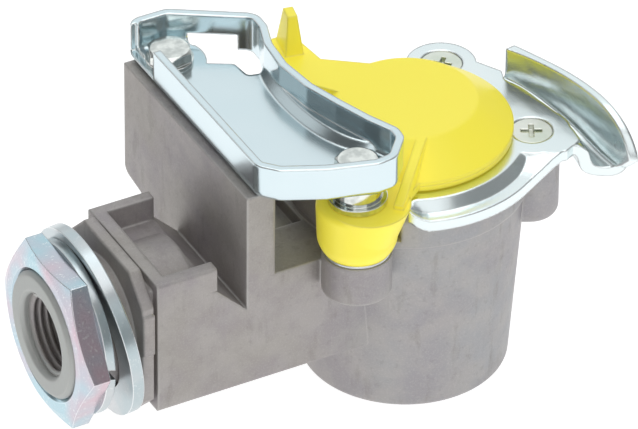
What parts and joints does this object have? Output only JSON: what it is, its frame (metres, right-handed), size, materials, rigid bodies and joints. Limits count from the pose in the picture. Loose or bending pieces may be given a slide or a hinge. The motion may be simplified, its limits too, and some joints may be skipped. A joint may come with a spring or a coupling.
{
  "type": "pneumatic quick coupling",
  "caption": "Palm-type quick coupling head for compressed air: cast cup and arm, steel claw plate and bracket, threaded bulkhead nipple, sprung valve and swinging cover.",
  "frame": {"origin": "centre of the cup's flat base", "axes": "+Z along the cup's axis towards the cover, -X along the arm towards the bulkhead nipple, -Y towards the cover's pivot"},
  "size_m": [0.1437, 0.0839, 0.084],
  "materials": {
    "cast_aluminium": "die cast, matt with a fine grain",
    "zinc_sheet": "bright blue-white zinc plating on pressed sheet",
    "zinc_fastener": "zinc plating",
    "spring_steel": "drawn wire",
    "yellow_plastic": "moulded, satin gloss",
    "black_rubber": "moulded rubber",
    "turned_brass": "plain turned",
    "black_plastic": "moulded"
  },
  "bodies": {
    "housing": {"body": "cast_aluminium", "claw_plate": "zinc_sheet", "claw_screws": "zinc_fastener", "top_bracket": "zinc_sheet", "bracket_bolt": "zinc_fastener", "pivot_bolt": "zinc_fastener", "pivot_bush": "zinc_fastener", "thrust_washer": "zinc_fastener", "cover_spring": "spring_steel", "bulkhead_nut": "zinc_fastener", "bulkhead_washer": "zinc_fastener", "lock_washer": "zinc_fastener", "sleeve_seal": "black_rubber", "guide_ring": "black_plastic", "guide_ring_seal": "black_rubber", "retaining_ring": "spring_steel", "valve_stem": "turned_brass", "valve_disc": "black_rubber", "disc_backing": "turned_brass", "stem_nut": "zinc_fastener", "return_spring": "spring_steel", "spring_seat": "zinc_fastener"},
    "cover": {"cover": "yellow_plastic"},
    "sleeve": {"valve_sleeve": "turned_brass", "face_seal": "black_rubber"}
  },
  "joints": [
    {"name": "cover_swing", "type": "hinge", "parent": "housing", "child": "cover", "pos_m": [-0.026, -0.023, 0.06], "axis": [0, 0, 1], "range_deg": [-95, 0], "stiffness_Nm_per_rad": 0.03, "springref_deg": 40.11, "deforming": ["cover_spring"]},
    {"name": "sleeve_travel", "type": "slide", "parent": "housing", "child": "sleeve", "axis": [0, 0, -1], "range_m": [0, 0.003], "stiffness_N_per_m": 1500, "springref_m": -0.01, "deforming": ["return_spring"]}
  ]
}
